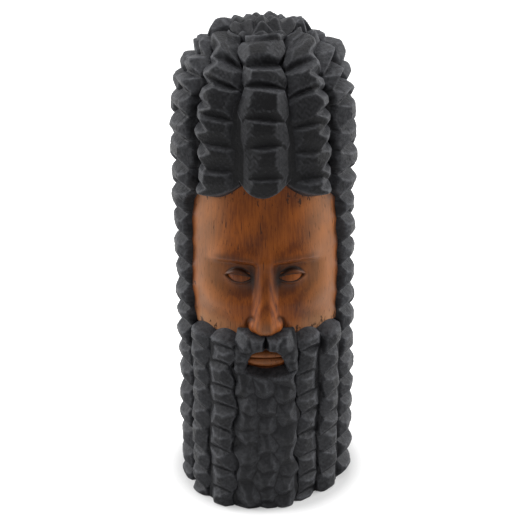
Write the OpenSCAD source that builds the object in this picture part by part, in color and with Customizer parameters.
// Carved wooden head, free standing: a bearded head in the round, cut from one log.
// Every carved element is its own solid, seated on the flats of a faceted log core.
// Millimetres, +Z up. The origin is the centre of the sawn foot, and the face looks along -Y.
// Angles are in degrees about Z: 0 is the front, and positive angles turn towards +X.
// Left and right are as seen by someone who faces the carving.

/* [Log] */
// Height from the sawn foot to the top of the hair
head_h = 305; // [260:1:380]
// Radius of the log at the crests of the locks
log_r = 57.5; // [48:0.5:70]
// Height of the domed crown above the straight sides
dome_h = 66; // [54:1:84]
// Squareness of the dome: 2 is an ellipse, and more is flatter on top
dome_power = 2.6; // [2.2:0.1:3.2]

/* [Locks] */
// Thickness of a lock, from the core to its crest
lock_t = 19.5; // [15:0.5:22]
// Depth of the groove between two locks
groove_depth = 10; // [6:0.5:12]
// Depth of the notch between two beads of a lock
notch_depth = 4; // [2:0.25:5]
// Length of one bead along a lock
bead_pitch = 15; // [11:0.5:20]
// Locks on each side, from the face round to the back
side_locks = 5; // [3:1:6]
// Height of the tuft that stands where the locks meet on the crown
tuft_h = 5; // [3:0.5:7]
// How much the crests of the beads vary, as cut by hand
hand_cut = 0.8; // [0:0.1:1.5]
// Clearance between the tuft and the tops of the locks
tuft_gap = 0.4; // [0.2:0.1:0.8]

/* [Fringe] */
// Drop from the top of the hair to the tips of the fringe
fringe_drop = 97; // [86:1:110]
// Angle from the front to the edge of the middle fringe lock
fringe_mid_deg = 17; // [12:1:18]
// Angle from the front to the outer edge of the side fringe locks
fringe_side_deg = 56; // [46:1:58]

/* [Face] */
// Angle from the front to the edge of the face, where the side hair starts
face_deg = 64; // [60:1:70]
// One third of the face: hairline to brow, brow to nose, nose to chin
face_third = 47; // [38:0.5:58]
// How far the hairline lies above the tips of the fringe
hairline_rise = 10; // [0:0.5:14]
// How far the middle of the face lies behind the crests of the locks
face_set = 10; // [7:0.25:12]
// How far the face fills out towards its edges
face_edge_fill = 2; // [0:0.25:4]
// How far the forehead leans back, from the brow up to the tips of the fringe
forehead_lean = 3; // [1:0.25:5]
// How far the brow stands out
brow_out = 1.6; // [0.5:0.1:3]
// How deep the eyes are set
socket_depth = 3.5; // [2.5:0.25:4.5]
// How far the tip of the nose stands out from the face
nose_out = 7.5; // [5:0.25:10]
// How far the cheekbones stand out
cheek_out = 1.4; // [0.5:0.1:3]
// Thickness of an eye above its seat
eye_bulge = 3.2; // [2:0.1:4]

/* [Beard] */
// Angle from the front to the edge of the chin and moustache
chin_deg = 20.5; // [18:0.5:24]
// Angle from the front to the line between the two beard locks of a side
beard_deg = 41; // [38:1:48]
// Angle from the front to the edge of the middle chin lock
chin_mid_deg = 7; // [5:0.5:9]
// How far the top of the beard lies below the nose
beard_below_nose = 2; // [1:0.5:4]
// How far the moustache lies behind the crests of the locks
moustache_set = 1.5; // [0.5:0.25:4]
// How far the skin round the mouth lies behind the crests of the locks
mouth_set = 10.5; // [8:0.5:13]
// Height of the upper lip above the line of the mouth
upper_lip_h = 5; // [3:0.25:7]
// Height of the lower lip below the line of the mouth
lower_lip_h = 6.5; // [4:0.25:9]
// How far the lips stand out from the skin
lip_out = 4.2; // [2:0.2:5.5]

/* [Hidden] */
core_r = log_r - lock_t;
wall_h = head_h - dome_h;
half_bead = bead_pitch / 2;

// Heights, worked out downwards from the tips of the fringe by the rule of equal thirds
fringe_z = head_h - fringe_drop;
hairline_z = fringe_z + hairline_rise;
brow_z = hairline_z - face_third;
nose_z = brow_z - face_third;
eye_z = brow_z - face_third / 4;
mouth_z = nose_z - face_third / 3;
beard_z = nose_z - beard_below_nose;
moustache_z = mouth_z + upper_lip_h;
chin_z = mouth_z - lower_lip_h;

// Widths, by the rule that a face is five eyes wide
face_r = log_r - face_set;
eye_w = 2 * face_r * sin(face_deg) / 5;
eye_deg = asin(eye_w / face_r);
eye_seat_r = face_r - socket_depth;
eye_half_h = eye_w * 0.22;
seat_half_deg = asin(eye_w * 0.58 / eye_seat_r);
seat_fade_deg = 4;
seat_half_h = eye_half_h + face_third * 0.07;
seat_fade_h = face_third * 0.07;
cheek_deg = face_deg * 0.62;
cheek_z = nose_z + face_third * 0.45;

// How the outline of a lock crosses from one groove to the next: [share of its width, share of the groove]
lock_outline = [[0, 1], [0.16, 0.35], [0.37, 0], [0.63, 0], [0.84, 0.35], [1, 1]];
// The deepest groove and notch, as shares of a lock's own width, where it narrows to the crown
groove_share = 0.45;
notch_share = 0.22;
// How far a free end of a lock is rounded down, as a share of its thickness
end_round = 0.15;

face_columns = 36;
face_rows = 30;
// How much closer the columns of the face stand at the nose than at the edges
face_crowding = 0.45;
dome_samples = 60;
angle_slack = 0.001;

wood_black = [0.16, 0.16, 0.17];
wood_brown = [0.55, 0.31, 0.15];
wood_pale = [0.66, 0.42, 0.24];
wood_raw = [0.45, 0.30, 0.18];

side_names = [[-1, "left"], [1, "right"]];

function unit(v) = v / norm(v);
function bell(x, width) = exp(-pow(x / width, 2));
function ramp(x) = let (t = min(max(x, 0), 1)) t * t * (3 - 2 * t);
function mix(a, b, t) = a + (b - a) * t;
function last(v) = v[len(v) - 1];

// The flats of the core
function hair_edge(k) = face_deg + (180 - face_deg) * k / side_locks;
front_edges = [chin_mid_deg, fringe_mid_deg, chin_deg, beard_deg, fringe_side_deg];
back_edges = [for (k = [0:side_locks - 1]) hair_edge(k)];
half_edges = concat(front_edges, back_edges);
core_edges = concat(
    [for (i = [len(half_edges) - 1:-1:0]) -half_edges[i]], half_edges, [180]);

// How far a flat lies inside the circle through its corners, at angle a, as a share of the radius
function flat_share(a) =
    let (low = max([for (e = concat([-180], core_edges)) if (e <= a + angle_slack) e]),
         high = min([for (e = core_edges) if (e >= a - angle_slack) e]))
    low >= high - angle_slack ? 1 : cos((high - low) / 2) / cos(a - (high + low) / 2);

// The corners of the core from angle a to angle b, both included
function edges_between(a, b) =
    concat([a], [for (e = core_edges) if (e > a + angle_slack && e < b - angle_slack) e], [b]);

// A level is one height on the core and the way its surface faces there: [radius, z, outward r, outward z]
function wall_level(z) = [core_r, z, 1, 0];
function dome_point(phi) = [
    log_r * pow(cos(phi), 2 / dome_power),
    wall_h + dome_h * pow(sin(phi), 2 / dome_power)];
function dome_level(phi) =
    let (p = dome_point(phi),
         n = unit([pow(p[0] / log_r, dome_power - 1) / log_r,
                   pow((p[1] - wall_h) / dome_h, dome_power - 1) / dome_h]),
         q = p - lock_t * n)
    [q[0], q[1], n[0], n[1]];

// Lengths along the dome's outline from the crown, and the levels that divide it into half beads
dome_angles = [for (i = [0:dome_samples]) 90 * (1 - i / dome_samples)];
dome_outline = [for (phi = dome_angles) dome_point(phi)];
dome_runs = [for (i = 0, run = 0; i <= dome_samples;
    i = i + 1, run = run + (i <= dome_samples ? norm(dome_outline[i] - dome_outline[i - 1]) : 0)) run];
dome_rows = 2 * round(last(dome_runs) / bead_pitch);
dome_table = [for (i = [0:dome_samples]) [dome_runs[i], dome_angles[i]]];
dome_levels = [for (j = [1:dome_rows - 1]) dome_level(lookup(j * last(dome_runs) / dome_rows, dome_table))];

// Levels down the straight sides, from height top to height bottom, in half beads
function wall_levels(top, bottom) =
    let (rows = max(2, round((top - bottom) / half_bead)))
    [for (j = [0:rows]) wall_level(mix(top, bottom, j / rows))];
function crown_levels(bottom) = concat(dome_levels, wall_levels(wall_h, bottom));

// The point at angle a and distance d out from a level of the core
function on_level(level, a, d, share = 1) =
    let (r = level[0] * share + d * level[2])
    [r * sin(a), -r * cos(a), level[1] + d * level[3]];
function on_core(level, a) = on_level(level, a, 0, flat_share(a));

// How the ends of a shell are closed: steps along the front (0) or the back (1), in order of angle
function end_steps(af, ab, i = 0, k = 0) =
    i == len(af) - 1 && k == len(ab) - 1 ? []
    : k == len(ab) - 1 || (i < len(af) - 1 && af[i + 1] <= ab[k + 1])
        ? concat([[0, i, k]], end_steps(af, ab, i + 1, k))
        : concat([[1, i, k]], end_steps(af, ab, i, k + 1));

// A closed solid between a front grid and a back grid with the same rows.
// Each row runs from left to right and rows run downwards. The columns of the front stand at the
// angles af and those of the back at ab, with the same first and last.
module shell(front, back, af, ab) {
    rows = len(front);
    nf = len(af);
    nb = len(ab);
    base = rows * nf;
    foot = rows - 1;
    function f(i, j) = j * nf + i;
    function b(i, j) = base + j * nb + i;
    faces = concat(
        [for (j = [0:rows - 2], i = [0:nf - 2]) each [
            [f(i, j), f(i + 1, j), f(i + 1, j + 1)], [f(i, j), f(i + 1, j + 1), f(i, j + 1)]]],
        [for (j = [0:rows - 2], i = [0:nb - 2]) each [
            [b(i, j), b(i + 1, j + 1), b(i + 1, j)], [b(i, j), b(i, j + 1), b(i + 1, j + 1)]]],
        [for (j = [0:rows - 2]) each [
            [f(0, j), f(0, j + 1), b(0, j + 1)], [f(0, j), b(0, j + 1), b(0, j)],
            [f(nf - 1, j + 1), f(nf - 1, j), b(nb - 1, j)],
            [f(nf - 1, j + 1), b(nb - 1, j), b(nb - 1, j + 1)]]],
        [for (step = end_steps(af, ab)) let (i = step[1], k = step[2]) each step[0] == 0
            ? [[f(i + 1, 0), f(i, 0), b(k, 0)], [f(i, foot), f(i + 1, foot), b(k, foot)]]
            : [[f(i, 0), b(k, 0), b(k + 1, 0)], [f(i, foot), b(k + 1, foot), b(k, foot)]]]);
    polyhedron(points = concat([for (row = front) each row], [for (row = back) each row]), faces = faces);
}

// Thickness of a lock at one point of its outline, on a crest or in a notch
function lock_thickness(level, width_deg, point, notched, full) =
    let (width = (level[0] + full * level[2]) * width_deg * PI / 180,
         groove = min(groove_depth, groove_share * width),
         notch = min(notch_depth, notch_share * width))
    full - groove * point[1] - (notched ? notch * (1 - point[1] / 2) : 0);

// A carved lock from angle a to angle b: beads along its length, and grooves at its sides.
// phase sets whether the first row is a crest or a notch. A free end is rounded down.
// The angles of a lock seed its own hand-cut variation, so that each lock differs and none changes.
module lock(levels, a, b, phase, full = lock_t, round_top = false, round_foot = false) {
    rows = len(levels);
    across = len(lock_outline);
    cuts = rands(0, hand_cut, rows * across, round(a * 10) + 4000);
    front = [for (j = [0:rows - 1])
        let (end = (round_top && j == 0) || (round_foot && j == rows - 1),
             thickness = end ? full * (1 - end_round) : full,
             notched = (j + phase) % 2 == 1 && !end)
        [for (i = [0:across - 1])
            let (p = lock_outline[i], cut = cuts[j * across + i] * (1 - p[1]))
            on_level(levels[j], mix(a, b, p[0]),
                max(lock_thickness(levels[j], b - a, p, notched, thickness) - cut, 1))]];
    edges = edges_between(a, b);
    back = [for (level = levels) [for (e = edges) on_core(level, e)]];
    shell(front, back, [for (p = lock_outline) mix(a, b, p[0])], edges);
}

// The log core: one flat behind each element, a flat top under the tuft, and the sawn foot
module log_core() {
    levels = concat(dome_levels, [wall_level(wall_h)]);
    rows = len(levels);
    n = len(core_edges);
    points = [for (level = levels, e = core_edges) on_level(level, e, 0)];
    faces = concat(
        [[for (i = [n - 1:-1:0]) i]],
        [[for (i = [0:n - 1]) (rows - 1) * n + i]],
        [for (j = [0:rows - 2], i = [0:n - 1]) let (k = (i + 1) % n)
            [j * n + i, j * n + k, (j + 1) * n + k, (j + 1) * n + i]]);
    color(wood_raw) {
        linear_extrude(wall_h) polygon([for (e = core_edges) core_r * [sin(e), -cos(e)]]);
        polyhedron(points = points, faces = faces);
    }
}

// The tuft on the crown, which fills the ring of lock tops
module crown_tuft() {
    start = dome_levels[0];
    seat_r = start[0] - tuft_gap;
    edge_r = start[0] + start[2] * lock_t - tuft_gap;
    edge_z = lock_t - tuft_h;
    color(wood_black)
        translate([0, 0, start[1]])
            rotate_extrude($fn = 48)
                polygon([[0, 0], [seat_r, 0], [edge_r, edge_z], [edge_r * 0.8, edge_z + tuft_h * 0.7],
                         [edge_r * 0.35, head_h - start[1]], [0, head_h - start[1]]]);
}

module fringe_lock(a, b, phase) {
    color(wood_black) lock(crown_levels(fringe_z), a, b, phase, round_foot = true);
}

module hair_lock(side, k) {
    a = side * hair_edge(k - 1);
    b = side * hair_edge(k);
    color(wood_black) lock(crown_levels(0), min(a, b), max(a, b), k % 2);
}

module beard_lock(side, k) {
    a = side * [chin_deg, beard_deg][k - 1];
    b = side * [beard_deg, face_deg][k - 1];
    color(wood_black)
        lock(wall_levels(beard_z, 0), min(a, b), max(a, b), (k + 1) % 2, round_top = true);
}

module chin_lock(a, b, phase) {
    color(wood_black) lock(wall_levels(chin_z, 0), a, b, phase, round_top = true);
}

module moustache(side) {
    levels = [for (t = [0, 0.3, 0.7, 1]) wall_level(mix(beard_z, moustache_z, t))];
    color(wood_black)
        lock(levels, min(0, side * chin_deg), max(0, side * chin_deg), 0, lock_t - moustache_set,
             round_top = true, round_foot = true);
}

// Radius of the face at angle a and height z: plain proportions, and calm
function nose_ridge(a, z) =
    let (down = (brow_z - z) / face_third,
         rise = mix(0.12, 1, ramp(down)) * (1 - ramp((down - 0.94) * 12)) * ramp((down + 0.2) * 4),
         width = mix(eye_w * 0.2, eye_w * 0.34, ramp(down)))
    nose_out * rise * bell(face_r * sin(a), width);
function face_form(a, z) =
    let (away = abs(a),
         brow = brow_out * bell(z - brow_z, face_third * 0.12) * bell(away - eye_deg, eye_deg),
         cheek = cheek_out * bell(away - cheek_deg, 16) * bell(z - cheek_z, face_third * 0.26),
         socket = socket_depth * bell(away - eye_deg, eye_deg * 0.8) * bell(z - eye_z, face_third * 0.2),
         lean = forehead_lean * ramp((z - brow_z) / (fringe_z - brow_z)),
         fill = face_edge_fill * pow(away / face_deg, 2))
    face_r + fill - lean + brow + cheek - socket + nose_ridge(a, z);
// Near each eye the face is a flat seat, square to the way that the eye looks
function eye_seat(a, z) =
    let (off = abs(a) - eye_deg,
         across = ramp(1 - (abs(off) - seat_half_deg) / seat_fade_deg),
         down = ramp(1 - (abs(z - eye_z) - seat_half_h) / seat_fade_h))
    [eye_seat_r / cos(off), across * down];
function face_radius(a, z) =
    let (seat = eye_seat(a, z)) mix(face_form(a, z), seat[0], seat[1]);

module face_panel() {
    levels = [for (j = [0:face_rows]) wall_level(mix(fringe_z, beard_z, j / face_rows))];
    angles = [for (i = [0:face_columns])
        let (u = mix(-1, 1, i / face_columns)) face_deg * mix(u, pow(u, 3), face_crowding)];
    front = [for (level = levels) [for (a = angles) on_level(level, a, face_radius(a, level[1]) - core_r)]];
    edges = edges_between(-face_deg, face_deg);
    back = [for (level = levels) [for (e = edges) on_core(level, e)]];
    color(wood_brown) shell(front, back, angles, edges);
}

// An almond eye on its flat seat in the face
module eye(side) {
    half_w = eye_w / 2;
    arc_r = (half_w * half_w + eye_half_h * eye_half_h) / (2 * eye_half_h);
    ball_r = half_w * 1.75;
    color(wood_pale)
        rotate([0, 0, side * eye_deg])
            translate([0, -eye_seat_r, eye_z])
                rotate([90, 0, 0])
                    intersection() {
                        linear_extrude(eye_bulge + 1)
                            intersection() {
                                translate([0, arc_r - eye_half_h]) circle(arc_r, $fn = 96);
                                translate([0, eye_half_h - arc_r]) circle(arc_r, $fn = 96);
                            }
                        translate([0, 0, eye_bulge - ball_r]) sphere(ball_r, $fn = 96);
                    }
}

// The skin round the mouth, and the lips that stand on its facets
mouth_edges = edges_between(-chin_deg, chin_deg);
skin_d = lock_t - mouth_set;
lip_edges = [for (e = mouth_edges) if (abs(e) < chin_deg - angle_slack) e];
module mouth_panel() {
    levels = [wall_level(moustache_z), wall_level(chin_z)];
    front = [for (level = levels) [for (e = mouth_edges) on_level(level, e, skin_d)]];
    back = [for (level = levels) [for (e = mouth_edges) on_core(level, e)]];
    color(wood_brown) shell(front, back, mouth_edges, mouth_edges);
}
// shape gives the height share and the thickness share of each row, from the top down
module lip(top, bottom, shape) {
    levels = [for (s = shape) wall_level(mix(top, bottom, s[0]))];
    front = [for (j = [0:len(shape) - 1]) [for (e = lip_edges)
        on_level(levels[j], e, skin_d + max(lip_out * shape[j][1] * cos(e * 90 / chin_deg), 0.6))]];
    back = [for (level = levels) [for (e = lip_edges) on_level(level, e, skin_d)]];
    color(wood_pale) shell(front, back, lip_edges, lip_edges);
}
module upper_lip() { lip(moustache_z, mouth_z, [[0, 0.25], [0.45, 0.8], [0.8, 1], [1, 0.7]]); }
module lower_lip() { lip(mouth_z, chin_z, [[0, 0.7], [0.2, 1], [0.6, 0.95], [1, 0.2]]); }

log_core();
crown_tuft();
face_panel();
mouth_panel();
upper_lip();
lower_lip();
fringe_lock(-fringe_mid_deg, fringe_mid_deg, 0);  // fringe_lock_centre
fringe_lock(-fringe_side_deg, -fringe_mid_deg, 1);  // fringe_lock_left
fringe_lock(fringe_mid_deg, fringe_side_deg, 1);  // fringe_lock_right
fringe_lock(-face_deg, -fringe_side_deg, 0);  // temple_lock_left
fringe_lock(fringe_side_deg, face_deg, 0);  // temple_lock_right
chin_lock(-chin_mid_deg, chin_mid_deg, 0);  // chin_lock_centre
chin_lock(-chin_deg, -chin_mid_deg, 1);  // chin_lock_left
chin_lock(chin_mid_deg, chin_deg, 1);  // chin_lock_right
for (s = side_names) {
    eye(s[0]);
    moustache(s[0]);
    for (k = [1:2])
        beard_lock(s[0], k);
    for (k = [1:side_locks])
        hair_lock(s[0], k);
}
